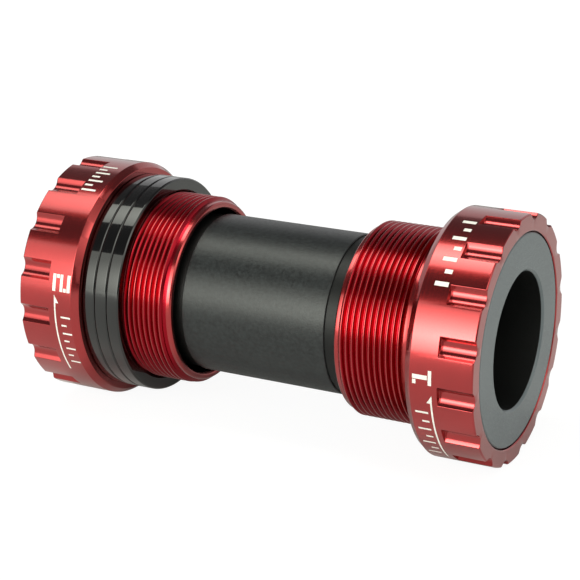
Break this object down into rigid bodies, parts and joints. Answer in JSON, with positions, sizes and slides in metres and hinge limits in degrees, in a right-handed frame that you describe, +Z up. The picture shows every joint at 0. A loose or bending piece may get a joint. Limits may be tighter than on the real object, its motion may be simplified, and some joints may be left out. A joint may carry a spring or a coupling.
{
  "type": "bottom bracket",
  "caption": "Threaded bottom bracket with outboard bearings: notched cups on a centre sleeve, spacer rings and dust covers with a bore for the crank spindle.",
  "frame": {"origin": "on the spindle's axis, halfway between the outer faces of the two cups", "axes": "+Y along the spindle towards the left (non-drive) side, +X forward, +Z up"},
  "size_m": [0.044, 0.088, 0.044],
  "materials": {
    "red_anodised_aluminium": "bright red anodised, turned",
    "black_anodised_aluminium": "satin black anodised",
    "black_moulded_plastic": "fine matt moulded grain",
    "grey_moulded_plastic": "smooth satin moulded",
    "bearing_steel": "ground",
    "polished_steel": "polished",
    "black_rubber": "matt",
    "cage_nylon": "natural nylon"
  },
  "bodies": {
    "right_cup": {"right_cup": "red_anodised_aluminium", "right_bearing_outer_ring": "bearing_steel", "right_outer_seal": "black_rubber", "right_inner_seal": "black_rubber"},
    "right_bush": {"right_dust_cover": "grey_moulded_plastic", "right_bearing_inner_ring": "bearing_steel"},
    "right_cage": {"right_ball_cage": "cage_nylon", "right_bearing_balls": "polished_steel"},
    "sleeve": {"centre_sleeve": "black_moulded_plastic", "left_o_ring": "black_rubber", "right_o_ring": "black_rubber"},
    "left_cup": {"left_cup": "red_anodised_aluminium", "left_bearing_outer_ring": "bearing_steel", "left_outer_seal": "black_rubber", "left_inner_seal": "black_rubber"},
    "left_bush": {"left_dust_cover": "grey_moulded_plastic", "left_bearing_inner_ring": "bearing_steel"},
    "left_cage": {"left_ball_cage": "cage_nylon", "left_bearing_balls": "polished_steel"},
    "spacer_1": {"spacer_ring_1": "black_anodised_aluminium"},
    "spacer_2": {"spacer_ring_2": "black_anodised_aluminium"},
    "spacer_3": {"spacer_ring_3": "black_anodised_aluminium"}
  },
  "joints": [
    {"name": "right_spindle_spin", "type": "hinge", "parent": "right_cup", "child": "right_bush", "pos_m": [0, -0.0386, 0], "axis": [0, 1, 0], "continuous": true},
    {"name": "right_cage_spin", "type": "hinge", "parent": "right_cup", "child": "right_cage", "pos_m": [0, -0.0386, 0], "axis": [0, 1, 0], "continuous": true},
    {"name": "left_spindle_spin", "type": "hinge", "parent": "left_cup", "child": "left_bush", "pos_m": [0, 0.0386, 0], "axis": [0, 1, 0], "continuous": true},
    {"name": "left_cage_spin", "type": "hinge", "parent": "left_cup", "child": "left_cage", "pos_m": [0, 0.0386, 0], "axis": [0, 1, 0], "continuous": true},
    {"name": "sleeve_turn", "type": "hinge", "parent": "right_cup", "child": "sleeve", "pos_m": [0, -0.0318, 0], "axis": [0, 1, 0], "continuous": true},
    {"name": "left_cup_slide", "type": "slide", "parent": "sleeve", "child": "left_cup", "axis": [0, 1, 0], "range_m": [-0.0015, 0.012]},
    {"name": "spacer_1_slide", "type": "slide", "parent": "right_cup", "child": "spacer_1", "axis": [0, 1, 0], "range_m": [0, 0.018]},
    {"name": "spacer_2_slide", "type": "slide", "parent": "spacer_1", "child": "spacer_2", "axis": [0, 1, 0], "range_m": [0, 0.018]},
    {"name": "spacer_3_slide", "type": "slide", "parent": "spacer_2", "child": "spacer_3", "axis": [0, 1, 0], "range_m": [0, 0.018]}
  ],
  "couplings": [
    {"joint": "right_cage_spin", "follows": "right_spindle_spin", "ratio": 0.44355},
    {"joint": "left_cage_spin", "follows": "left_spindle_spin", "ratio": 0.44355}
  ]
}
